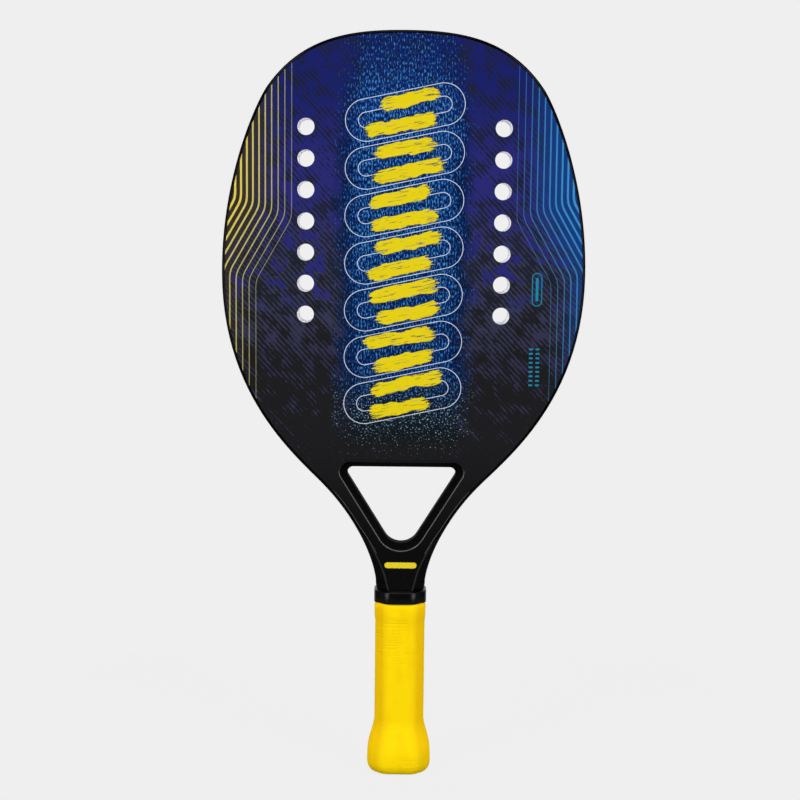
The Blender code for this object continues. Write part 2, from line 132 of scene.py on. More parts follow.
# Grip
GRIP_HALF_WIDTH = 0.0168
GRIP_HALF_DEPTH = 0.0140
GRIP_FLAT_WIDTH = 0.0099
GRIP_FLAT_DEPTH = 0.0082
GRIP_CORNER = 0.0024
GRIP_WALL = 0.0010
GRIP_END = 0.0006
FLARE_START = 0.0378
FLARE_END = 0.0125
FLARE = 0.00475
BUTT_EDGE_HEIGHT = 0.009
BUTT_EDGE_DEPTH = 0.0075
BUTT_EDGE_STEPS = 8
FLARE_STEPS = 14
TAPE_START = 0.1125
TAPE_BULGE = 0.0005
BULGE_RISE = 0.007
BULGE_STEPS = 8
LAP_PITCH = 0.036
LAP_HEIGHT = 0.00005
LAP_PLACE = 0.0990
# Shares of a lap's pitch: its step, its whole length and the part where it fades out
LAP_STEP = 0.03
LAP_LENGTH = 0.20
LAP_FADE = 0.12
# The grip's long and wide edges, and the cuts that make them fine enough for the laps
GRIP_LONG_EDGE = 0.02
GRIP_WIDE_EDGE = 0.004
GRIP_LONG_CUTS = 31
GRIP_WIDE_CUTS = 5
# The grip's upper end: heights from the collar's lower edge, and how far it stands out
GRIP_TUCK = ((-0.0018, TAPE_BULGE), (-0.0008, 0.0001), (-0.0002, -0.0003), (0.0038, -0.0014))

# Cloth tape under the grip
TAPE_RADIUS = 0.015
TAPE_THREAD = 0.0005

# Butt cap, and the ring moulded in its end as (inset, rise) steps
CAP_PLAY = 0.0002
CAP_CORNER_PLAY = 0.0004
CAP_LIP = 0.002
CAP_STEPS = 10
CAP_WALL = 0.0016
CAP_FLOOR = 0.0032
CAP_RING = ((0.0030, 0), (0.0004, -0.0005), (0.0012, 0), (0.0004, 0.0005))

# Collar
COLLAR_LOW = 0.1197
COLLAR_SHOULDER = 0.1279
COLLAR_TOP = 0.1291
COLLAR_HALF_WIDTH = 0.0177
COLLAR_HALF_DEPTH = 0.0148
COLLAR_FLAT_WIDTH = 0.0088
COLLAR_FLAT_DEPTH = 0.0074
COLLAR_CORNER = 0.0026
COLLAR_ROUNDING = 0.0006
COLLAR_LOW_EDGE = ((0.00018, 0.00042), (0.00042, 0.00018))
COLLAR_TOP_EDGE = ((0.00018, 0.00042), (0.00042, 0.00028))
COLLAR_LIP_REACH = 0.0015
COLLAR_LIP_STEP = 0.0003
COLLAR_LIP_RISES = (0.62, 0.12, 0.02)

# The camera, at the photograph's viewing angle
CAMERA_PLACE = (-0.0015, -0.9958, 0.3801)
CAMERA_DIP = radians(7.027)
CAMERA_ROLL = radians(0.6)
CAMERA_LENS = 67.05


def make_camera():
    """The camera in front of the racket, looking slightly down."""
    bpy.ops.object.camera_add()
    camera = bpy.context.object
    camera.name = "camera"
    camera.data.lens = CAMERA_LENS
    turn = Matrix.Rotation(pi / 2 - CAMERA_DIP, 4, "X") @ Matrix.Rotation(CAMERA_ROLL, 4, "Z")
    camera.matrix_world = Matrix.Translation(CAMERA_PLACE) @ turn
    bpy.context.scene.camera = camera


make_camera()


class Field:
    """A number that changes over a surface. Sums and products of fields become math nodes."""

    def __init__(self, tree, socket):
        self.tree = tree
        self.socket = socket

    def __add__(self, other):
        return formula("ADD", self, other)

    def __sub__(self, other):
        return formula("SUBTRACT", self, other)

    def __rsub__(self, other):
        return formula("SUBTRACT", other, self)

    def __mul__(self, other):
        return formula("MULTIPLY", self, other)

    def __truediv__(self, other):
        return formula("DIVIDE", self, other)

    def __abs__(self):
        return formula("ABSOLUTE", self)

    __radd__ = __add__
    __rmul__ = __mul__


def put(tree, place, value):
    """Gives a node's input a field, another node's output or a plain value."""
    if isinstance(value, Field):
        value = value.socket
    if isinstance(value, bpy.types.NodeSocket):
        tree.links.new(value, place)
    else:
        place.default_value = value


def tree_of(values):
    """The node tree that the fields among some values belong to."""
    return next(value.tree for value in values if isinstance(value, Field))


def formula(operation, *values):
    """A math node on fields and plain numbers."""
    tree = tree_of(values)
    node = tree.nodes.new("ShaderNodeMath")
    node.operation = operation
    for place, value in zip(node.inputs, values):
        put(tree, place, value)
    return Field(tree, node.outputs[0])


def most(a, b):
    """The greater of two values."""
    return formula("MAXIMUM", a, b)


def ramp(value, start, end):
    """0 at the start, 1 at the end, with a smooth rise between."""
    node = value.tree.nodes.new("ShaderNodeMapRange")
    node.interpolation_type = "SMOOTHSTEP"
    put(value.tree, node.inputs["Value"], value)
    put(value.tree, node.inputs["From Min"], start)
    put(value.tree, node.inputs["From Max"], end)
    return Field(value.tree, node.outputs["Result"])


def texture(kind, output, place, **settings):
    """A texture node's output at a place of three fields or plain numbers."""
    tree = tree_of(place)
    point = tree.nodes.new("ShaderNodeCombineXYZ")
    for socket, value in zip(point.inputs, place):
        put(tree, socket, value)
    node = tree.nodes.new(kind)
    tree.links.new(point.outputs[0], node.inputs["Vector"])
    node.inputs["Scale"].default_value = 1.0
    for name, value in settings.items():
        node.inputs[name].default_value = value
    return Field(tree, node.outputs[output])


def noise(x, y, z, detail=1.0):
    """Smooth noise from 0 to 1, whose features are about as large as its coordinates' unit."""
    return texture("ShaderNodeTexNoise", "Fac", (x, y, z), Detail=detail)


def cells(x, y, z):
    """Distance to the nearest of scattered points, one for each unit of the coordinates."""
    return texture("ShaderNodeTexVoronoi", "Distance", (x, y, z))


def ink(red, green, blue):
    """A printed colour, from 0 to 255 on a screen, as the light it reflects."""
    light = []
    for value in (red, green, blue):
        share = value / 255
        light.append(share / 12.92 if share <= 0.04045 else ((share + 0.055) / 1.055) ** 2.4)
    return (*light, 1.0)


def lay(under, over, share):
    """One colour laid over another, as far as the field says."""
    tree = share.tree
    node = tree.nodes.new("ShaderNodeMix")
    node.data_type = "RGBA"
    put(tree, node.inputs[0], share)
    put(tree, node.inputs[6], under)
    put(tree, node.inputs[7], over)
    return node.outputs[2]


def place_fields(tree, kind):
    """The place on a surface or the direction of a ray, as three fields."""
    coordinates = tree.nodes.new("ShaderNodeTexCoord")
    parts = tree.nodes.new("ShaderNodeSeparateXYZ")
    tree.links.new(coordinates.outputs[kind], parts.inputs[0])
    return [Field(tree, output) for output in parts.outputs]


def set_input(finish, name, value):
    """Gives one of a finish's inputs a field, a node's output or a plain value."""
    tree = finish.node_tree
    put(tree, tree.nodes["Principled BSDF"].inputs[name], value)


def set_colour(finish, colour):
    """Colour of a finish, from a node's output."""
    set_input(finish, "Base Color", colour)


def set_roughness(finish, roughness):
    """Roughness of a finish, from a field or one value."""
    set_input(finish, "Roughness", roughness)


def set_relief(finish, height):
    """Fine relief of a finish: the field is a height in metres."""
    bump = finish.node_tree.nodes.new("ShaderNodeBump")
    bump.inputs["Strength"].default_value = 1.0
    bump.inputs["Distance"].default_value = 1.0
    put(finish.node_tree, bump.inputs["Height"], height)
    set_input(finish, "Normal", bump.outputs["Normal"])


def new_finish(name, roughness, shine=0.5, metallic=0.0):
    """A material with its plain values set, and the place on the surface as three fields."""
    finish = bpy.data.materials.new(name)
    finish.use_nodes = True
    set_roughness(finish, roughness)
    set_input(finish, "Specular IOR Level", shine)
    set_input(finish, "Metallic", metallic)
    return finish, place_fields(finish.node_tree, "Object")


# Inks of the artwork, with a grey for painted highlights and a black that also paints shade
BLUE = ink(24, 31, 100)
VIOLET_BLUE = ink(40, 40, 112)
DUSK = ink(52, 54, 78)
VIOLET = ink(46, 46, 72)
NIGHT = ink(30, 33, 47)
BLACK = ink(28, 28, 30)
NECK_BLACK = ink(10, 10, 10)
GLOW_DARK = ink(1, 20, 54)
GLOW_MIDDLE = ink(4, 57, 131)
GLOW_LIGHT = ink(74, 148, 208)
GLOW_DOT = ink(150, 184, 196)
GLOW_SHADE = ink(8, 20, 26)
YELLOW = ink(230, 208, 14)
PALE_YELLOW = ink(226, 216, 132)
DEEP_YELLOW = ink(240, 216, 84)
NECK_YELLOW = ink(236, 212, 40)
# Grey of the painted highlight on the throat opening's rounded edge
CREASE_HIGHLIGHT_GREY = ink(98, 98, 98)
OLIVE = ink(54, 46, 18)
CYAN = ink(66, 146, 206)
DEEP_CYAN = ink(10, 62, 128)
TEAL = ink(24, 140, 172)
WHITE = ink(212, 220, 240)

# Slanted dashes of the ground, and upright dashes of the glow
HATCH_ANGLE = radians(47.2)
HATCH_PITCH = 0.00263
GLOW_PITCH = 0.00199

# Pinstripes down both sides: upright, leaning outwards, upright again
STRIPE_START = 0.0739
STRIPE_PITCH = 0.0045
STRIPE_CROWDING = 2.64
STRIPE_COUNT = 10
STRIPE_LEAN = radians(29.9)
STRIPE_SPREAD = 0.833
STRIPE_BEND = 0.3781
STRIPE_SHIFT = 0.0235
STRIPE_SOFT_BEND = 0.0032

# Slanted rows down the middle: white rings, and two brush strokes to each ring
BAR_SLANT = radians(12)
BAR_PITCH = 0.0303
BAR_COUNT = 7
BAR_MIDDLE = 0.3545
STROKE_RADIUS = 0.0044
STROKE_LENGTH = 0.0215
RING_LENGTH = 0.0395
RING_RADIUS = 0.0136
SLOT_LENGTH = 0.0310
SLOT_RADIUS = 0.0051
LINE_WIDTH = 0.00040

# Teal marks and the neck's bar. A ring or bar has a half length and a radius.
BADGE_PLACE = (0.0882, 0.333)
BADGE_RING = (0.0108, 0.0031)
BADGE_BAR = (0.0078, 0.0009)
BADGE_LINE = 0.0006
DASHES_ACROSS = 0.0872
DASHES_LOW = 0.268
DASHES_HIGH = 0.295
DASH_PITCH = 0.0030
DASH_ASIDE = 0.0022
NECK_BAR_HEIGHT = 0.1462
NECK_BAR = (0.0108, 0.0020)


def capsule(along, across, half_length, radius):
    """Distance from a bar with round ends, below zero inside it."""
    past = most(abs(along) - (half_length - radius), 0.0)
    return formula("SQRT", past * past + across * across) - radius


def filled(distance):
    """1 inside a shape, where a distance is below zero."""
    return ramp(distance, 0.0001, -0.0001)


def line_on(distance, width):
    """1 on a line of some width, where a distance is zero."""
    return filled(abs(distance) - width / 2)


def ground(x, z):
    """Blue ground with slanted dashes: a few at the top, close lines lower down, then black."""
    along = x * cos(HATCH_ANGLE) - z * sin(HATCH_ANGLE)
    across = x * sin(HATCH_ANGLE) + z * cos(HATCH_ANGLE)
    lines = formula("SINE", across * (2 * pi / HATCH_PITCH))
    dashes = noise(along / 0.0036, across / 0.0014, 0.0) - 0.5
    patches = noise(along / 0.012, across / 0.009, 4.0) - 0.5
    pattern = lines * 0.36 + dashes * 1.3 + patches * 2.4
    close = ramp(z, 0.42, 0.33) * 0.28
    closer = ramp(z, 0.305, 0.255) * 0.50
    closest = ramp(z, 0.25, 0.20) * 0.60
    softness = ramp(z, 0.42, 0.36) * 0.14 + 0.08
    dark = ramp(close + closer + closest - 0.26 - pattern, softness * -1.0, softness)
    blue = lay(BLUE, VIOLET_BLUE, ramp(z, 0.47, 0.40))
    faded = ramp(z, 0.40, 0.34) * most(ramp(patches, 0.13, 0.03), ramp(z, 0.34, 0.31))
    blue = lay(blue, DUSK, faded)
    blue = lay(blue, VIOLET, ramp(z, 0.32, 0.28))
    # Painted shade: the black is darker towards the neck
    black = lay(NECK_BLACK, BLACK, ramp(z, 0.15, 0.24))
    black = lay(black, NIGHT, ramp(z, 0.29, 0.36))
    return lay(blue, black, dark)


def glow(colour, x, z):
    """Cyan column of fine upright dashes down the middle: it thins out at its edges and ends."""
    edge = noise(x / 0.010, z / 0.020, 2.0) * 0.014 - 0.007
    column = ramp(abs(x) + edge + ramp(z, 0.44, 0.49) * 0.006, 0.052, 0.026)
    fade = ramp(z, 0.226, 0.278) * (1.0 - ramp(z, 0.450, 0.500) * 0.45)
    strength = column * fade * (1.0 - ramp(z, 0.37, 0.29) * 0.18)
    screen = formula("SINE", x * (2 * pi / GLOW_PITCH))
    dashes = noise(x / 0.0007, z / 0.0024, 5.0) + screen * 0.04
    middle = ramp(dashes + strength * 0.12, 0.56, 0.65)
    bright = ramp(dashes + strength * 0.15, 0.70, 0.79) * ramp(strength, 0.01, 0.15)
    base = 0.9 - ramp(z, 0.41, 0.47) * 0.45
    body = lay(colour, GLOW_DARK, ramp(strength, 0.05, 0.6) * base)
    body = lay(body, GLOW_MIDDLE, middle * strength)
    body = lay(body, GLOW_LIGHT, bright * (strength * 0.55 + 0.28))
    inside = ramp(abs(x) + edge, 0.050, 0.024)
    low = ramp(z, 0.285, 0.248)
    body = lay(body, GLOW_SHADE, inside * low * ramp(z, 0.221, 0.238) * 0.6)
    dots = noise(x / 0.0011, z / 0.0011, 8.0) + ramp(z, 0.219, 0.250) * 0.10 + inside * 0.05
    ends = ramp(z, 0.216, 0.226) * ramp(inside, 0.0, 0.1)
    return lay(body, GLOW_DOT, ramp(dots, 0.74, 0.82) * low * ends * 0.7)


def pinstripes(colour, x, z):
    """Thin stripes that lean outwards halfway down: yellow on the left, cyan on the right."""
    out = abs(x) - STRIPE_START
    leaning = (out + (z - STRIPE_BEND) * tan(STRIPE_LEAN)) * STRIPE_SPREAD
    lower = out - STRIPE_SHIFT
    place = formula("SMOOTH_MIN", out, leaning, STRIPE_SOFT_BEND)
    place = formula("SMOOTH_MAX", place, lower, STRIPE_SOFT_BEND)
    count = place / STRIPE_PITCH * (place * STRIPE_CROWDING + 1.0)
    order = formula("ROUND", count)
    share = order / STRIPE_COUNT
    width = share * 0.17 + 0.035
    on_stripe = ramp(abs(count - order) - width, 0.03, -0.03)
    in_row = ramp(count, -0.6, -0.4)
    left = ramp(x, 0.001, -0.001)
    yellow = lay(PALE_YELLOW, DEEP_YELLOW, ramp(share, 0.4, 0.9))
    stripe = lay(CYAN, yellow, left)
    shade = lay(DEEP_CYAN, OLIVE, left)
    colour = lay(colour, shade, ramp(count, 0.5, 7.0) * in_row * 0.85)
    return lay(colour, stripe, on_stripe * in_row * (share * 0.50 + 0.42))


def slanted_row(x, z, pitch, shift):
    """The slanted row that a point is in, and its place along and across from the row's middle."""
    height = z - BAR_MIDDLE
    across = height * cos(BAR_SLANT) - x * sin(BAR_SLANT)
    row = formula("ROUND", across / pitch - shift) + shift
    along = x * cos(BAR_SLANT) + height * sin(BAR_SLANT) - row * (pitch * tan(BAR_SLANT))
    return row, along, across - row * pitch


def rings(colour, x, z):
    """Rows of thin white rings with round ends, one in another."""
    row, along, across = slanted_row(x, z, BAR_PITCH, 0.0)
    ring = line_on(capsule(along, across, RING_LENGTH, RING_RADIUS), LINE_WIDTH)
    slot = line_on(capsule(along, across, SLOT_LENGTH, SLOT_RADIUS), LINE_WIDTH)
    in_rows = ramp(abs(row), BAR_COUNT / 2 + 0.02, BAR_COUNT / 2 - 0.02)
    return lay(colour, WHITE, most(ring, slot) * in_rows)


def brush_strokes(colour, x, z):
    """Rows of short yellow strokes of a half dry brush: ragged ends and bare bristle lines."""
    row, along, across = slanted_row(x, z, BAR_PITCH / 2, 0.5)
    in_rows = ramp(abs(row), BAR_COUNT + 0.02, BAR_COUNT - 0.02)
    sway = formula("SINE", row * 2.1)
    lengthen = formula("COSINE", row * 3.3)
    tilt = formula("SINE", row * 4.7)
    stroke_along = along - sway * 0.0030
    wavy = noise(along / 0.010, across / 0.014, row + 20.0) - 0.5
    ragged = noise(along / 0.005, across / 0.0008, row, 2.0) - 0.5
    stroke_across = across + wavy * 0.0046 + along * tilt * 0.035
    distance = capsule(stroke_along + ragged * 0.012, stroke_across,
                       lengthen * 0.0030 + STROKE_LENGTH, STROKE_RADIUS)
    bristles = noise(along / 0.009, across / 0.0005, row + 40.0)
    worn = 0.66 - ramp(abs(stroke_along), 0.004, 0.022) * 0.07
    bare = ramp(bristles, worn, worn + 0.04)
    edge = distance + ragged * 0.0022
    stroke = ramp(edge, 0.0002, -0.0002) * (1.0 - bare * 0.9)
    colour = lay(colour, OLIVE, ramp(edge, 0.0010, 0.0) * in_rows * 0.55)
    return lay(colour, YELLOW, stroke * in_rows * 0.97)


def small_marks(colour, x, z):
    """A plain teal ring with a bar in it, two columns of dashes, and a yellow bar on the neck."""
    aside = x - BADGE_PLACE[0]
    height = z - BADGE_PLACE[1]
    badge = line_on(capsule(height, aside, *BADGE_RING), BADGE_LINE)
    bar = filled(capsule(height, aside, *BADGE_BAR))
    step = formula("FRACT", (z - DASHES_LOW) / DASH_PITCH) - 0.5
    beside = abs(abs(x - DASHES_ACROSS) - DASH_ASIDE)
    dash = ramp(abs(step), 0.22, 0.16) * ramp(beside, 0.0014, 0.0011)
    dash = dash * filled(DASHES_LOW - z) * filled(z - DASHES_HIGH)
    colour = lay(colour, TEAL, most(most(badge, bar), dash) * 0.85)
    neck_bar = filled(capsule(x, z - NECK_BAR_HEIGHT, *NECK_BAR))
    return lay(colour, NECK_YELLOW, neck_bar * 0.95)


def make_face_paint():
    """The printed and lacquered faces: the same design on both, as seen from in front of each, with
    a painted highlight and painted shade round the throat opening.
    """
    finish, (x, y, z) = new_finish("painted_face", 0.22, shine=0.30)
    x = x * formula("SIGN", y * -1.0)
    colour = ground(x, z)
    for layer in (glow, pinstripes, rings, brush_strokes, small_marks):
        colour = layer(colour, x, z)
    depth = HALF_DEPTH - abs(y)
    # Painted highlight: a light grey on the throat opening's rounded edge, fading out along its top
    crease_highlight = ramp(depth, 0.00001, 0.00004) * ramp(depth, 0.0006, 0.0004) * ramp(z, 0.214, 0.206)
    colour = lay(colour, CREASE_HIGHLIGHT_GREY, crease_highlight * 0.75)
    # Painted shade: the face is darkened in a band just above the throat opening
    shade_above_throat = ramp(z, THROAT_TOP + 0.0070, THROAT_TOP + 0.0028) * ramp(abs(x), 0.041, 0.035)
    colour = lay(colour, NECK_BLACK, shade_above_throat * ramp(z, 0.214, 0.2145) * 0.75)
    set_colour(finish, colour)
    smears = noise(x / 0.03, z / 0.05, 3.0, 4.0)
    scuffs = noise(x / 0.0006, z / 0.012, 6.0, 2.0)
    set_roughness(finish, smears * 0.06 + ramp(scuffs, 0.66, 0.74) * 0.05 + 0.17)
    peel = noise(x / 0.0011, z / 0.0011, 1.0)
    set_relief(finish, peel * 0.000006)
    return finish


def make_rim_paint():
    """Satin black lacquer over moulded fibreglass, with a painted highlight on the neck's creases.
    """
    finish, (x, y, z) = new_finish("satin_black_rim", 0.22, shine=0.10)
    rubbed = noise(x / 0.012, y / 0.004, z / 0.012, 4.0)
    black = lay(ink(1, 1, 2), ink(9, 9, 10), ramp(rubbed, 0.50, 0.85))
    # Painted highlight: light grey along the neck's creased edges
    crease_highlight = ramp(abs(y), HALF_DEPTH - 0.00030, HALF_DEPTH - 0.00005) * ramp(z, 0.168, 0.152)
    set_colour(finish, lay(black, ink(50, 50, 50), crease_highlight * 0.7))
    set_roughness(finish, rubbed * 0.10 + 0.15)
    peel = noise(x / 0.0010, y / 0.0010, z / 0.0010)
    set_relief(finish, peel * 0.000008)
    return finish


def make_wall_paint():
    """Dull black paint on the throat opening's walls."""
    finish, (x, y, z) = new_finish("dull_black_wall", 0.6, shine=0.04)
    dusty = noise(x / 0.006, y / 0.003, z / 0.006, 3.0)
    set_colour(finish, lay(ink(3, 3, 3), ink(9, 9, 10), ramp(dusty, 0.45, 0.8)))
    set_roughness(finish, dusty * 0.2 + 0.5)
    set_relief(finish, noise(x / 0.0010, y / 0.0010, z / 0.0010) * 0.000010)
    return finish


def make_foam_finish(name, light, dark, pore):
    """Closed-cell foam: small pores, slightly uneven in colour."""
    finish, (x, y, z) = new_finish(name, 0.85, shine=0.3)
    pores = cells(x / pore, y / pore, z / pore)
    patches = noise(x / 0.006, y / 0.006, z / 0.006, 3.0)
    colour = lay(light, dark, ramp(pores, 0.30, 0.05) * 0.45 + ramp(patches, 0.4, 0.75) * 0.3)
    set_colour(finish, colour)
    set_relief(finish, ramp(pores, 0.05, 0.45) * 0.00006)
    return finish


def make_grip_finish():
    """Matt yellow synthetic leather with painted shade on its sides: fine grain, faint laps and
    folds.
    """
    finish, (x, y, z) = new_finish("yellow_grip_leather", 0.62, shine=0.06)
    turn = formula("ARCTAN2", y, x) / (2 * pi)
    lap = formula("FRACT", (z - LAP_PLACE) / LAP_PITCH + turn + 8.0)
    near_lap = ramp(lap, 0.018, 0.0) + ramp(lap, 0.985, 1.0)
    grime = noise(x / 0.008, y / 0.008, z / 0.016, 4.0)
    colour = lay(ink(255, 219, 2), ink(252, 210, 2), ramp(grime, 0.42, 0.72))
    # Painted shade: the grip's sides are laid a darker, more orange yellow, half as much towards
    # the butt
    aside = ramp(abs(x) - abs(y), -0.009, 0.002) * (ramp(z, 0.004, 0.034) * 0.5 + 0.5)
    colour = lay(colour, ink(254, 205, 2), aside)
    set_colour(finish, lay(colour, ink(226, 178, 4), near_lap * 0.08))
    grain = cells(x / 0.00045, y / 0.00045, z / 0.00045)
    creases = noise(x / 0.0011, y / 0.0011, z / 0.0011, 2.0)
    folded = ramp(noise(x / 0.02, y / 0.02, z / 0.016, 0.0), 0.50, 0.66)
    folds = ramp(noise(x / 0.012, y / 0.012, z / 0.0012, 0.0), 0.50, 0.72) * folded
    set_roughness(finish, grime * 0.16 + 0.52)
    set_relief(finish, grain * 0.00003 + creases * 0.00003 - near_lap * 0.00002 - folds * 0.00010)
    return finish


def make_rubber_finish():
    """Satin black rubber with a very fine grain."""
    finish, (x, y, z) = new_finish("black_collar_rubber", 0.42, shine=0.25)
    wear = noise(x / 0.004, y / 0.004, z / 0.003, 4.0)
    set_colour(finish, lay(ink(3, 3, 4), ink(10, 10, 11), ramp(wear, 0.45, 0.8)))
    set_roughness(finish, wear * 0.12 + 0.24)
    set_relief(finish, noise(x / 0.0005, y / 0.0005, z / 0.0005) * 0.000012)
    return finish


def make_nylon_finish():
    """Moulded yellow nylon with fine spark-eroded grain."""
    finish, (x, y, z) = new_finish("yellow_cap_nylon", 0.48, shine=0.4)
    tone = noise(x / 0.006, y / 0.006, z / 0.006, 3.0)
    set_colour(finish, lay(ink(250, 212, 14), ink(230, 186, 10), ramp(tone, 0.35, 0.75)))
    set_relief(finish, cells(x / 0.0004, y / 0.0004, z / 0.0004) * 0.00002)
    return finish


def make_tape_finish():
    """White cloth tape: a plain weave."""
    finish, (x, y, z) = new_finish("white_cloth_tape", 0.85, shine=0.2)
    turn = formula("ARCTAN2", y, x) * TAPE_RADIUS
    warp = formula("SINE", turn * (2 * pi / TAPE_THREAD))
    weft = formula("SINE", z * (2 * pi / TAPE_THREAD))
    weave = warp * weft
    set_colour(finish, lay(ink(226, 224, 214), ink(188, 186, 176), ramp(weave, -0.2, 0.9)))
    set_relief(finish, weave * 0.00004)
    return finish


def make_steel_finish():
    """Zinc plated wire, drawn along its length."""
    finish, (x, y, z) = new_finish("zinc_plated_wire", 0.3, metallic=1.0)
    drawn = noise(x / 0.002, y / 0.0003, z / 0.0002, 3.0)
    set_colour(finish, lay(ink(206, 208, 212), ink(160, 162, 168), ramp(drawn, 0.4, 0.7)))
    set_roughness(finish, drawn * 0.2 + 0.2)
    return finish


def choose(piece):
    """Selects one piece alone and makes it the active one."""
    bpy.ops.object.select_all(action="DESELECT")
    piece.select_set(True)
    bpy.context.view_layer.objects.active = piece


def add_object(name, data):
    """A new object in the scene."""
    piece = bpy.data.objects.new(name, data)
    bpy.context.scene.collection.objects.link(piece)
    return piece


def open_piece(piece, kind="FACE"):
    """Opens a piece for editing, with nothing selected."""
    choose(piece)
    bpy.ops.object.mode_set(mode="EDIT")
    bpy.ops.mesh.select_mode(type=kind)
    bpy.ops.mesh.select_all(action="DESELECT")


def pick(kind, test):
    """Selects the open piece's faces, edges or vertices that pass a test."""
    bpy.ops.mesh.select_all(action="DESELECT")
    mesh = bmesh.from_edit_mesh(bpy.context.edit_object.data)
    for element in getattr(mesh, kind):
        if test(element):
            element.select_set(True)
    bmesh.update_edit_mesh(bpy.context.edit_object.data)


def pick_faces(test):
    """Selects the open piece's faces whose middle and normal pass a test."""
    pick("faces", lambda face: test(face.calc_center_median(), face.normal))


def pick_edges(test):
    """Selects the open piece's edges whose two ends pass a test."""
    pick("edges", lambda edge: test(*(corner.co for corner in edge.verts)))


def pick_corners(test):
    """Selects the open piece's vertices whose place passes a test."""
    pick("verts", lambda corner: test(corner.co))


def close_piece():
    """Ends the editing of the open piece."""
    bpy.ops.object.mode_set(mode="OBJECT")


def stretch(across, deep):
    """Scales what is selected across and in depth, about the racket's axis."""
    bpy.ops.transform.resize(value=(across, deep, 1), center_override=(0, 0, 0))


def step_in(steps):
    """Insets the selected faces through (inset, rise) steps."""
    for inset, rise in steps:
        bpy.ops.mesh.inset(thickness=inset, depth=rise)


def apply_modifier(piece, kind, **settings):
    """Adds a modifier with its settings and applies it."""
    choose(piece)
    modifier = piece.modifiers.new(kind.lower(), kind)
    for name, value in settings.items():
        setattr(modifier, name, value)
    bpy.ops.object.modifier_apply(modifier=modifier.name)


def clean(piece):
    """Merges doubled corners and points the faces outwards."""
    open_piece(piece)
    bpy.ops.mesh.select_all(action="SELECT")
    bpy.ops.mesh.remove_doubles(threshold=MERGE)
    bpy.ops.mesh.normals_make_consistent(inside=False)
    close_piece()


def finish_piece(piece, finish, slot, *nodes, angle=30):
    """Smooths a piece, gives it its finish and puts it in place of its nodes."""
    choose(piece)
    bpy.ops.object.transform_apply(location=True, rotation=True, scale=True)
    bpy.ops.object.shade_smooth_by_angle(angle=radians(angle))
    piece.data.materials.clear()
    piece.data.materials.append(finish)
    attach(piece, "root")
    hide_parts(*nodes)


def half_outline():
    """Points (x, z) of the racket's right half, from the crown down to the handle's end."""
    widest = LENGTH - WIDEST_DROP
    shoulder = Vector((HALF_WIDTH - SHOULDER_INSET, LENGTH - SHOULDER_DROP))
    shoulder_way = Vector((cos(SHOULDER_ANGLE), -sin(SHOULDER_ANGLE)))
    flank = Vector((FLANK_WIDTH / 2, NECK_HEIGHT + FLANK_RISE))
    flank_way = Vector((-cos(FLANK_ANGLE), -sin(FLANK_ANGLE)))
    neck = NECK_WIDTH / 2
    handle = HANDLE_WIDTH / 2
    above = FULLNESS_ABOVE * (shoulder.y - widest)
    below = FULLNESS_BELOW * (widest - flank.y)
    pieces = [
        ((0, LENGTH), (CROWN_REACH, LENGTH), shoulder - shoulder_way * SHOULDER_REACH_UP, shoulder),
        (shoulder, shoulder + shoulder_way * SHOULDER_REACH_DOWN, (HALF_WIDTH, widest + above),
         (HALF_WIDTH, widest)),
        ((HALF_WIDTH, widest), (HALF_WIDTH, widest - below),
         flank - flank_way * FLANK_REACH_UP, flank),
        (flank, flank + flank_way * FLANK_REACH_DOWN, (neck, NECK_HEIGHT + NECK_REACH),
         (neck, NECK_HEIGHT)),
        ((neck, NECK_HEIGHT), (neck, NECK_HEIGHT - NECK_REACH), (handle, HANDLE_TOP + NECK_REACH),
         (handle, HANDLE_TOP)),
    ]
    points = [(0.0, LENGTH)]
    for start, leave, arrive, end in pieces:
        knots = [Vector(knot).to_3d() for knot in (start, leave, arrive, end)]
        points += [(p.x, p.y) for p in interpolate_bezier(*knots, OUTLINE_STEPS + 1)[1:]]
    return points + [(handle, HANDLE_END)]


def outward(points):
    """Outward directions at the half outline's points."""
    ways = [(0.0, 1.0)]
    for before, after in zip(points, points[2:]):
        dx, dz = after[0] - before[0], after[1] - before[1]
        ways.append((-dz / hypot(dx, dz), dx / hypot(dx, dz)))
    return ways + [(1.0, 0.0)]


OUTLINE = half_outline()
OUTWARD = outward(OUTLINE)


def held(share):
    """A share kept between 0 and 1."""
    return min(max(share, 0.0), 1.0)


def eased(share):
    """A share from 0 to 1 with a smooth start and end."""
    return share * share * (3 - 2 * share)


def edge_at(z):
    """The rim edge's width, depth and softness at a height."""
    start = NECK_HEIGHT + EDGE_START_RISE
    end = NECK_HEIGHT - EDGE_END_DROP
    share = held((start - z) / (start - end)) ** EDGE_GROWTH
    width = EDGE_ON_HEAD + (EDGE_WIDTH_ON_NECK - EDGE_ON_HEAD) * share
    depth = EDGE_ON_HEAD + (EDGE_DEPTH_ON_NECK - EDGE_ON_HEAD) * share
    softness = SOFTNESS_ON_HEAD + (SOFTNESS_ON_NECK - SOFTNESS_ON_HEAD) * share
    return width, depth, softness


def skin_inset(z):
    """How far inside the outline the laminate faces start at a height."""
    width, _, softness = edge_at(z)
    return width + softness + RIM_LAND


def inset_loop(inset, low=0.0, high=1.0):
    """The outline between two heights, drawn in by a distance that may depend on the height."""
    side = []
    for (x, z), (nx, nz) in zip(OUTLINE, OUTWARD):
        distance = inset(z)
        side.append((max(x - nx * distance, 0.0), z - nz * distance))
    kept = []
    for (xa, za), (xb, zb) in zip([(0.0, side[0][1] + 0.001)] + side, side):
        for level in (high, low):
            if zb <= level < za and level < side[0][1]:
                kept.append((xa + (xb - xa) * (za - level) / (za - zb), level))
        if low < zb < high:
            kept.append((xb, zb))
    return kept + [(-x, z) for x, z in reversed(kept) if x > 0]


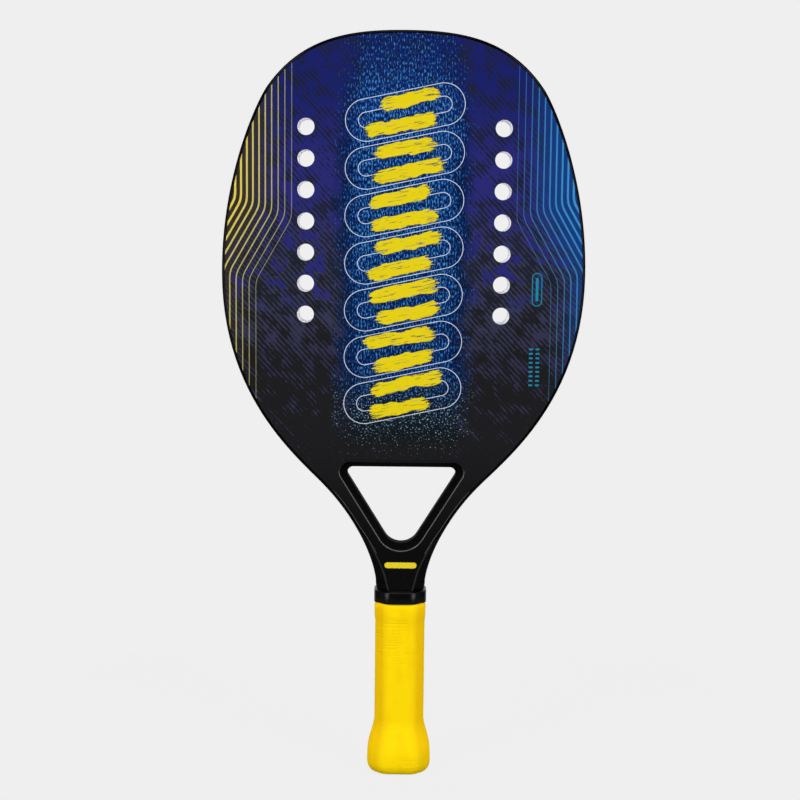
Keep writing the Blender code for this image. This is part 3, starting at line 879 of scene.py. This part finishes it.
def soft_corner(before, corner, after, softness):
    """Points that round a corner between two neighbours."""
    here = Vector(corner)
    start = here + (Vector(before) - here).normalized() * softness
    end = here + (Vector(after) - here).normalized() * softness
    points = []
    for i in range(CORNER_STEPS + 1):
        t = i / CORNER_STEPS
        points.append(tuple(start * (1 - t) ** 2 + here * 2 * t * (1 - t) + end * t * t))
    return points


def rim_section(z):
    """The rim's section as (inset, depth), from its outer side to its inner side and back."""
    width, depth, softness = edge_at(z)
    low, high = (0.0, HALF_DEPTH - depth), (width, HALF_DEPTH)
    seat = HALF_DEPTH - SKIN
    front = soft_corner((0.0, 0.0), low, high, softness)
    front += soft_corner(low, high, (TUBE_WIDTH, HALF_DEPTH), softness)
    step = skin_inset(z)
    front += [(step, HALF_DEPTH), (step, seat), (TUBE_WIDTH + RIM_TONGUE, seat)]
    return [(n, -y) for n, y in front] + [(n, y) for n, y in reversed(front)]


def make_rim():
    """The moulded rim, carried round the outline from one end of the handle to the other."""
    rings = []
    stations = list(zip(OUTLINE, OUTWARD))
    for mirror in (-1, 1):
        side = list(reversed(stations)) if mirror < 0 else stations[1:]
        for (x, z), (nx, nz) in side:
            rings.append([(mirror * (x - nx * n), y, z - nz * n) for n, y in rim_section(z)])
    mesh = bmesh.new()
    rows = [[mesh.verts.new(point) for point in ring] for ring in rings]
    mesh.faces.new(rows[0])
    mesh.faces.new(rows[-1])
    for low, high in zip(rows, rows[1:]):
        for i in range(len(low)):
            j = (i + 1) % len(low)
            mesh.faces.new((low[i], low[j], high[j], high[i]))
    bmesh.ops.recalc_face_normals(mesh, faces=mesh.faces)
    data = bpy.data.meshes.new("rim")
    mesh.to_mesh(data)
    mesh.free()
    rim = add_object("rim", data)
    clean(rim)
    finish_piece(rim, RIM_PAINT, "frame_fibreglass", "frame_tube", angle=40)


def blank(name, loop, front, back):
    """A flat plate cut to a loop, extruded from its front plane to its back plane."""
    data = bpy.data.meshes.new(name)
    data.from_pydata([(x, front, z) for x, z in loop], [], [tuple(range(len(loop)))])
    piece = add_object(name, data)
    open_piece(piece)
    bpy.ops.mesh.select_all(action="SELECT")
    bpy.ops.mesh.extrude_region_move(TRANSFORM_OT_translate={"value": (0, back - front, 0)})
    bpy.ops.mesh.select_all(action="SELECT")
    bpy.ops.mesh.normals_make_consistent(inside=False)
    close_piece()
    return piece


def make_hole_drill():
    """One drill for all the holes: a cylinder for each, down both sides of the head."""
    bpy.ops.object.select_all(action="DESELECT")
    bpy.ops.mesh.primitive_cylinder_add(vertices=HOLE_SIDES, radius=HOLE_RADIUS,
                                        depth=4 * HALF_DEPTH, rotation=(pi / 2, 0, 0),
                                        location=(-HOLE_SIDE, 0, HOLE_CENTRE))
    drill = bpy.context.object
    drill.name = "hole_drill"
    bpy.ops.object.transform_apply(location=True, rotation=True, scale=True)
    first = -(HOLE_ROWS - 1) / 2
    open_piece(drill)
    bpy.ops.mesh.select_all(action="SELECT")
    bpy.ops.transform.translate(value=(0, 0, first * HOLE_PITCH))
    for row in range(HOLE_ROWS - 1):
        bpy.ops.mesh.duplicate_move(TRANSFORM_OT_translate={"value": (0, 0, HOLE_PITCH)})
    bpy.ops.mesh.select_all(action="SELECT")
    bpy.ops.mesh.duplicate_move(TRANSFORM_OT_translate={"value": (2 * HOLE_SIDE, 0, 0)})
    close_piece()
    return drill


def throat_loop(grow, corner_radius=THROAT_CORNER_RADIUS):
    """The throat opening drawn out by a distance: a triangle with round corners, point down."""
    tilt = THROAT_HALF_ANGLE
    low = Vector((0, THROAT_BOTTOM + THROAT_BOTTOM_RADIUS))
    high_z = THROAT_TOP - corner_radius
    reach = THROAT_BOTTOM_RADIUS - corner_radius + sin(tilt) * (high_z - low.y)
    high_x = reach / cos(tilt)
    corners = [
        (low, THROAT_BOTTOM_RADIUS, -pi + tilt, -tilt),
        (Vector((high_x, high_z)), corner_radius, -tilt, pi / 2),
        (Vector((-high_x, high_z)), corner_radius, pi / 2, pi + tilt),
    ]
    points = []
    for centre, radius, start, stop in corners:
        for i in range(ARC_STEPS + 1):
            angle = start + (stop - start) * i / ARC_STEPS
            points.append(tuple(centre + Vector((cos(angle), sin(angle))) * (radius + grow)))
    return points


def make_throat_plug():
    """A plug of the throat opening's shape, which narrows to a web in mid thickness."""
    seat = HALF_DEPTH - SKIN
    profile = [(seat, THROAT_EDGE)]
    profile += [(THROAT_WEB + beyond, growth) for beyond, growth in WEB_CORNER] + [(0.0, 0.0)]
    plug = blank("throat_plug", throat_loop(THROAT_EDGE), -2 * HALF_DEPTH, -seat)
    open_piece(plug)
    pick_faces(lambda middle, normal: normal.y > FACING)
    step_in([(growth - next_growth, depth - next_depth)
             for (depth, growth), (next_depth, next_growth) in zip(profile, profile[1:])])
    bpy.ops.mesh.delete(type="FACE")
    close_piece()
    even = [Vector(place) for place in throat_loop(THROAT_EDGE)]
    reaching = throat_loop(THROAT_EDGE, THROAT_CORNER_RADIUS - THROAT_CORNER_REACH * THROAT_EDGE)
    for corner in plug.data.vertices:
        if corner.co.y < TOUCH - seat:
            here = Vector((corner.co.x, corner.co.z))
            nearest = min(range(len(even)), key=lambda i: (even[i] - here).length)
            corner.co.x, corner.co.z = reaching[nearest]
    apply_modifier(plug, "MIRROR", use_axis=(False, True, False), merge_threshold=2 * TOUCH)
    clean(plug)
    return plug


def cut(piece, cutter):
    """Takes a cutter out of a piece."""
    apply_modifier(piece, "BOOLEAN", operation="DIFFERENCE", solver="EXACT", object=cutter)


def near_hole(point):
    """True on the edge of one of the holes."""
    row = round((point.z - HOLE_CENTRE) / HOLE_PITCH)
    if abs(row) > HOLE_ROWS // 2:
        return False
    away = hypot(abs(point.x) - HOLE_SIDE, point.z - HOLE_CENTRE - row * HOLE_PITCH)
    return abs(away - HOLE_RADIUS) < 5 * TOUCH


def near_throat(point):
    """True on the edge of the throat opening."""
    beside = abs(point.x) < THROAT_HALF_SPAN
    return beside and THROAT_BOTTOM - THROAT_MARGIN < point.z < THROAT_TOP + THROAT_MARGIN


def make_face(name, node, side, drill, plug):
    """A laminate face, with its holes and throat opening cut and their edges softened."""
    outside = side * HALF_DEPTH
    piece = blank(name, inset_loop(skin_inset), outside, outside - side * SKIN)
    cut(piece, drill)
    cut(piece, plug)
    clean(piece)
    longest = 2 * HOLE_RADIUS * sin(1.5 * pi / HOLE_SIDES)

    def outer(a, b, near):
        return all(abs(end.y - outside) < TOUCH and near(end) for end in (a, b))

    def on_throat(edge):
        a, b = (corner.co for corner in edge.verts)
        return outer(a, b, near_throat) and edge.calc_face_angle(0) > THROAT_CREASE_ANGLE

    open_piece(piece, "EDGE")
    pick_edges(lambda a, b: outer(a, b, near_hole) and (a - b).length < longest)
    bpy.ops.mesh.bevel(offset=HOLE_EDGE, segments=3, affect="EDGES")
    pick("edges", on_throat)
    bpy.ops.mesh.bevel(offset=THROAT_CREASE, segments=4, affect="EDGES")
    close_piece()
    finish_piece(piece, FACE_PAINT, "painted_laminate", node, angle=35)
    apply_modifier(piece, "WEIGHTED_NORMAL", keep_sharp=True)


def make_inside(drill, plug):
    """The foam core with its drilled holes, the bridge above the throat and the gusset below it."""
    def inside(z):
        return TUBE_WIDTH + FOAM_PLAY

    core = blank("head_foam", inset_loop(inside, low=CORE_LOW), -CORE_DEPTH, CORE_DEPTH)
    cut(core, drill)
    clean(core)
    finish_piece(core, HEAD_FOAM, "eva_foam", "foam_core")
    for name, node, low, high in (("bridge_wall", "throat_bridge", BRIDGE_LOW, BRIDGE_TOP),
                                  ("gusset_wall", "throat_gusset", GUSSET_LOW, BRIDGE_LOW)):
        piece = blank(name, inset_loop(inside, low=low, high=high), -CORE_DEPTH, CORE_DEPTH)
        cut(piece, plug)
        clean(piece)
        finish_piece(piece, WALL_PAINT, "frame_fibreglass", node, angle=35)


def open_block(name, half_width, half_depth, flat_width, flat_depth, low, high, corner, segments):
    """An eight-sided block with round upright edges, left open for editing."""
    bpy.ops.object.select_all(action="DESELECT")
    bpy.ops.mesh.primitive_cylinder_add(vertices=8, radius=1 / cos(pi / 8), depth=high - low,
                                        location=(0, 0, (low + high) / 2), rotation=(0, 0, pi / 8))
    piece = bpy.context.object
    piece.name = name
    bpy.ops.object.transform_apply(location=True, rotation=True, scale=True)
    open_piece(piece, "VERT")
    bpy.ops.mesh.select_all(action="SELECT")
    stretch(half_width, half_depth)
    pick_corners(lambda co: abs(co.y) > FACING * half_depth)
    stretch(flat_width / (half_width * tan(pi / 8)), 1)
    pick_corners(lambda co: abs(co.x) > FACING * half_width)
    stretch(1, flat_depth / (half_depth * tan(pi / 8)))
    bpy.ops.mesh.select_mode(type="EDGE")
    pick_edges(lambda a, b: abs(a.z - b.z) > TOUCH)
    bpy.ops.mesh.bevel(offset=corner, segments=segments, affect="EDGES")
    bpy.ops.mesh.select_mode(type="FACE")
    return piece


def flare(z):
    """How far the butt stands out beyond the straight grip at a height."""
    out = FLARE * eased(held((FLARE_START - z) / (FLARE_START - FLARE_END)))
    below = max(BUTT_EDGE_HEIGHT - z, 0.0) / BUTT_EDGE_HEIGHT
    return out - BUTT_EDGE_DEPTH * (1 - (1 - below * below) ** 0.5)


def butt_edge(low):
    """Heights round the butt's lower edge, down to an end."""
    return [low + (BUTT_EDGE_HEIGHT - low) * (1 - sin(i * pi / 2 / BUTT_EDGE_STEPS))
            for i in range(BUTT_EDGE_STEPS + 1)]


def draw_end(sections, half_width, half_depth, upwards):
    """Extrudes a block's end through (height, growth) sections; its present end is the first."""
    way = 1 if upwards else -1
    pick_faces(lambda middle, normal: normal.z * way > FACING)
    for (z, grow), (next_z, next_grow) in zip(sections, sections[1:]):
        bpy.ops.mesh.extrude_region_move(TRANSFORM_OT_translate={"value": (0, 0, next_z - z)})
        stretch((half_width + next_grow) / (half_width + grow),
                (half_depth + next_grow) / (half_depth + grow))


def lap_relief(point):
    """How far the wound grip stands out at a point: each lap ends in a low step."""
    turn = atan2(point.y, point.x) / (2 * pi)
    lap = ((point.z - LAP_PLACE) / LAP_PITCH + turn) % 1.0
    return LAP_HEIGHT * eased(held(lap / LAP_STEP)) * eased(held((LAP_LENGTH - lap) / LAP_FADE))


def make_grip():
    """The yellow grip: a soft octagon that flares at the butt, with faint slanted laps."""
    bulge_start = TAPE_START - BULGE_RISE
    grip = open_block("grip", GRIP_HALF_WIDTH, GRIP_HALF_DEPTH, GRIP_FLAT_WIDTH, GRIP_FLAT_DEPTH,
                      FLARE_START, bulge_start, GRIP_CORNER, segments=6)
    heights = [FLARE_START + (FLARE_END - FLARE_START) * i / FLARE_STEPS
               for i in range(FLARE_STEPS + 1)]
    heights += [(FLARE_END + BUTT_EDGE_HEIGHT) / 2] + butt_edge(GRIP_END)
    draw_end([(z, flare(z)) for z in heights], GRIP_HALF_WIDTH, GRIP_HALF_DEPTH, upwards=False)
    bulge = [(bulge_start + BULGE_RISE * i / BULGE_STEPS, TAPE_BULGE * eased(i / BULGE_STEPS))
             for i in range(BULGE_STEPS + 1)]
    bulge += [(COLLAR_LOW + rise, growth) for rise, growth in GRIP_TUCK]
    draw_end(bulge, GRIP_HALF_WIDTH, GRIP_HALF_DEPTH, upwards=True)
    top = bulge[-1][0]
    pick_faces(lambda middle, normal: abs(normal.z) > FACING
               and not GRIP_END + 10 * TOUCH < middle.z < top - 10 * TOUCH)
    bpy.ops.mesh.delete(type="FACE")
    pick_edges(lambda a, b: abs(a.z - b.z) > GRIP_LONG_EDGE)
    bpy.ops.mesh.subdivide(number_cuts=GRIP_LONG_CUTS)
    pick_edges(lambda a, b: abs(a.z - b.z) < TOUCH and (a - b).length > GRIP_WIDE_EDGE)
    bpy.ops.mesh.subdivide(number_cuts=GRIP_WIDE_CUTS)
    close_piece()
    apply_modifier(grip, "SUBSURF", subdivision_type="SIMPLE", levels=1, render_levels=1)
    for corner in grip.data.vertices:
        away = Vector((corner.co.x, corner.co.y, 0)).normalized()
        corner.co += away * lap_relief(corner.co)
    clean(grip)
    apply_modifier(grip, "SOLIDIFY", thickness=GRIP_WALL, offset=-1, use_even_offset=True)
    finish_piece(grip, GRIP_LEATHER, "grip_leather", "grip_sleeve", angle=50)


def make_butt_cap():
    """The butt cap: a flared cup whose end face shows inside the grip's lower edge."""
    half_width = GRIP_HALF_WIDTH - GRIP_WALL - CAP_PLAY
    half_depth = GRIP_HALF_DEPTH - GRIP_WALL - CAP_PLAY
    top = FLARE_START - BUTT_EDGE_HEIGHT
    start = top - CAP_LIP
    cap = open_block("cap", half_width, half_depth, GRIP_FLAT_WIDTH - CAP_CORNER_PLAY,
                     GRIP_FLAT_DEPTH - CAP_CORNER_PLAY, start, top,
                     GRIP_CORNER - CAP_CORNER_PLAY, segments=5)
    bpy.ops.mesh.select_all(action="SELECT")
    grow = flare(top)
    stretch((half_width + grow) / half_width, (half_depth + grow) / half_depth)
    heights = [start + (FLARE_END - start) * i / CAP_STEPS for i in range(1, CAP_STEPS + 1)]
    sections = [(start, grow)] + [(z, flare(z)) for z in heights + butt_edge(0.0)]
    draw_end(sections, half_width, half_depth, upwards=False)
    step_in(CAP_RING)
    pick_faces(lambda middle, normal: normal.z > FACING and middle.z > top - TOUCH)
    bpy.ops.mesh.inset(thickness=CAP_WALL + grow, depth=0)
    bpy.ops.mesh.extrude_region_move(TRANSFORM_OT_translate={"value": (0, 0, CAP_FLOOR - top)})
    close_piece()
    clean(cap)
    finish_piece(cap, CAP_NYLON, "cap_nylon", "butt_cap", angle=40)


def make_collar():
    """The rubber collar: a soft octagon round the grip's top, drawn in to a lip on the neck."""
    collar = open_block("collar", COLLAR_HALF_WIDTH, COLLAR_HALF_DEPTH, COLLAR_FLAT_WIDTH,
                        COLLAR_FLAT_DEPTH, COLLAR_LOW + COLLAR_ROUNDING,
                        COLLAR_SHOULDER - COLLAR_ROUNDING, COLLAR_CORNER, segments=6)
    pick_faces(lambda middle, normal: normal.z > FACING)
    insets = (COLLAR_HALF_DEPTH - HALF_DEPTH - COLLAR_LIP_REACH, COLLAR_LIP_STEP, COLLAR_LIP_STEP)
    rises = [(COLLAR_TOP - COLLAR_SHOULDER) * share for share in COLLAR_LIP_RISES]
    step_in([*COLLAR_TOP_EDGE, *zip(insets, rises)])
    pick_faces(lambda middle, normal: normal.z < -FACING)
    step_in(COLLAR_LOW_EDGE)
    close_piece()
    clean(collar)
    finish_piece(collar, COLLAR_RUBBER, "collar_rubber", "grip_collar", angle=40)


def dress_hidden_nodes():
    """Finishes for the pieces that stay inside and keep their own solids."""
    handle_foam = make_foam_finish("grey_handle_foam", ink(150, 150, 152), ink(112, 112, 114),
                                   0.0006)
    cushion_foam = make_foam_finish("black_cushion_foam", ink(48, 48, 49), ink(26, 26, 27),
                                    0.0005)
    tape = make_tape_finish()
    steel = make_steel_finish()
    finishes = {"handle_core": handle_foam, "grip_cushion": cushion_foam, "cushion_tape": tape,
                "butt_staple_front": steel, "butt_staple_back": steel}
    for node, finish in finishes.items():
        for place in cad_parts[node].material_slots:
            place.material = finish


# Stage
PALE = 0.863
FLOOR_GLOW = 0.993
FLOOR_SHOWN = 0.85
FLOOR_MIRRORED = 0.15
FLOOR_ALBEDO = 0.12
FLOOR_DROP = 0.0002
FLOOR_RADIUS = 0.35
BACKDROP_SIZE = 9
BACKDROP_PLACE = (0, 4.4, 1.0)
SURROUND = 0.15
DIM = 0.03


def seen_rays(tree):
    """1 for rays from the camera, from clear pieces and from reflections, as three fields."""
    rays = tree.nodes.new("ShaderNodeLightPath")
    camera, clear, gloss = (Field(tree, rays.outputs[name]) for name in
                            ("Is Camera Ray", "Is Transmission Ray", "Is Glossy Ray"))
    return camera, clear, gloss


def pale_finish(name, shade, shown, mirrored, albedo):
    """A pale matt surface: the shares say how far it shows its plain shade and mirrors it."""
    finish = bpy.data.materials.new(name)
    finish.use_nodes = True
    tree = finish.node_tree
    tree.nodes.clear()
    camera, clear, gloss = seen_rays(tree)
    plain = tree.nodes.new("ShaderNodeEmission")
    plain.inputs["Color"].default_value = (shade, shade, shade, 1)
    matt = tree.nodes.new("ShaderNodeBsdfDiffuse")
    matt.inputs["Color"].default_value = (albedo, albedo, albedo, 1)
    mix = tree.nodes.new("ShaderNodeMixShader")
    put(tree, mix.inputs[0], most(most(camera, clear) * shown, gloss * mirrored))
    tree.links.new(matt.outputs[0], mix.inputs[1])
    tree.links.new(plain.outputs[0], mix.inputs[2])
    output = tree.nodes.new("ShaderNodeOutputMaterial")
    tree.links.new(mix.outputs[0], output.inputs["Surface"])
    return finish


def make_stage():
    """A pale round floor and a pale backdrop, which let the lamps below and behind shine past."""
    bpy.ops.object.select_all(action="DESELECT")
    bpy.ops.mesh.primitive_circle_add(vertices=96, radius=FLOOR_RADIUS, fill_type="NGON",
                                      location=(0, 0, -FLOOR_DROP))
    floor = bpy.context.object
    floor.name = "floor"
    floor.data.materials.append(pale_finish("pale_floor", FLOOR_GLOW, FLOOR_SHOWN,
                                            FLOOR_MIRRORED, FLOOR_ALBEDO))
    bpy.ops.mesh.primitive_plane_add(size=BACKDROP_SIZE, location=BACKDROP_PLACE,
                                     rotation=(pi / 2, 0, 0))
    backdrop = bpy.context.object
    backdrop.name = "backdrop"
    backdrop.data.materials.append(pale_finish("pale_backdrop", PALE, 1.0, 1.0, PALE))
    for piece in (floor, backdrop):
        piece.visible_shadow = False


def make_lamp(name, azimuth, height, spread, strength, gloss=True):
    """A broad far-off lamp: its azimuth counts from straight in front, its height from level."""
    lamp = bpy.data.lights.new(name, "SUN")
    lamp.energy = strength
    lamp.angle = radians(spread)
    turn = radians(azimuth)
    rise = radians(height)
    towards = Vector((sin(turn) * cos(rise), -cos(turn) * cos(rise), sin(rise)))
    stand = add_object(name, lamp)
    stand.location = towards * 2
    stand.rotation_euler = (-towards).to_track_quat("-Z", "Y").to_euler()
    stand.visible_glossy = gloss


def make_light():
    """Broad lamps on both sides, front and back, weaker ones above and below, and a surround."""
    for side, name in ((-1, "left"), (1, "right")):
        make_lamp(name + "_low_lamp", side * 45, height=0, spread=30, strength=0.94)
        make_lamp(name + "_high_lamp", side * 45, height=38, spread=20, strength=1.03)
        make_lamp(name + "_back_lamp", side * 142, height=24, spread=34, strength=0.95,
                  gloss=False)
    make_lamp("top_lamp", 0, height=75, spread=34, strength=0.5)
    make_lamp("under_lamp", 0, height=-42, spread=40, strength=0.36, gloss=False)
    world = bpy.data.worlds.new("studio")
    bpy.context.scene.world = world
    world.use_nodes = True
    tree = world.node_tree
    camera, clear, gloss = seen_rays(tree)
    behind = ramp(place_fields(tree, "Generated")[1], 0.30, 0.75)
    shown = most(most(camera, clear), gloss * behind)
    colour = lay((SURROUND, SURROUND, SURROUND, 1), (DIM, DIM, DIM, 1), gloss)
    colour = lay(colour, (PALE, PALE, PALE, 1), shown)
    put(tree, tree.nodes["Background"].inputs["Color"], colour)


FACE_PAINT = make_face_paint()
RIM_PAINT = make_rim_paint()
WALL_PAINT = make_wall_paint()
HEAD_FOAM = make_foam_finish("pale_head_foam", ink(253, 252, 255), ink(236, 232, 242), 0.0005)
GRIP_LEATHER = make_grip_finish()
COLLAR_RUBBER = make_rubber_finish()
CAP_NYLON = make_nylon_finish()

make_rim()
hole_drill = make_hole_drill()
throat_plug = make_throat_plug()
make_face("front_face", "front_skin", -1, hole_drill, throat_plug)
make_face("back_face", "back_skin", 1, hole_drill, throat_plug)
make_inside(hole_drill, throat_plug)
for cutter in (hole_drill, throat_plug):
    bpy.data.objects.remove(cutter)
make_grip()
make_butt_cap()
make_collar()
dress_hidden_nodes()
make_stage()
make_light()
bpy.context.scene.view_settings.view_transform = "Standard"
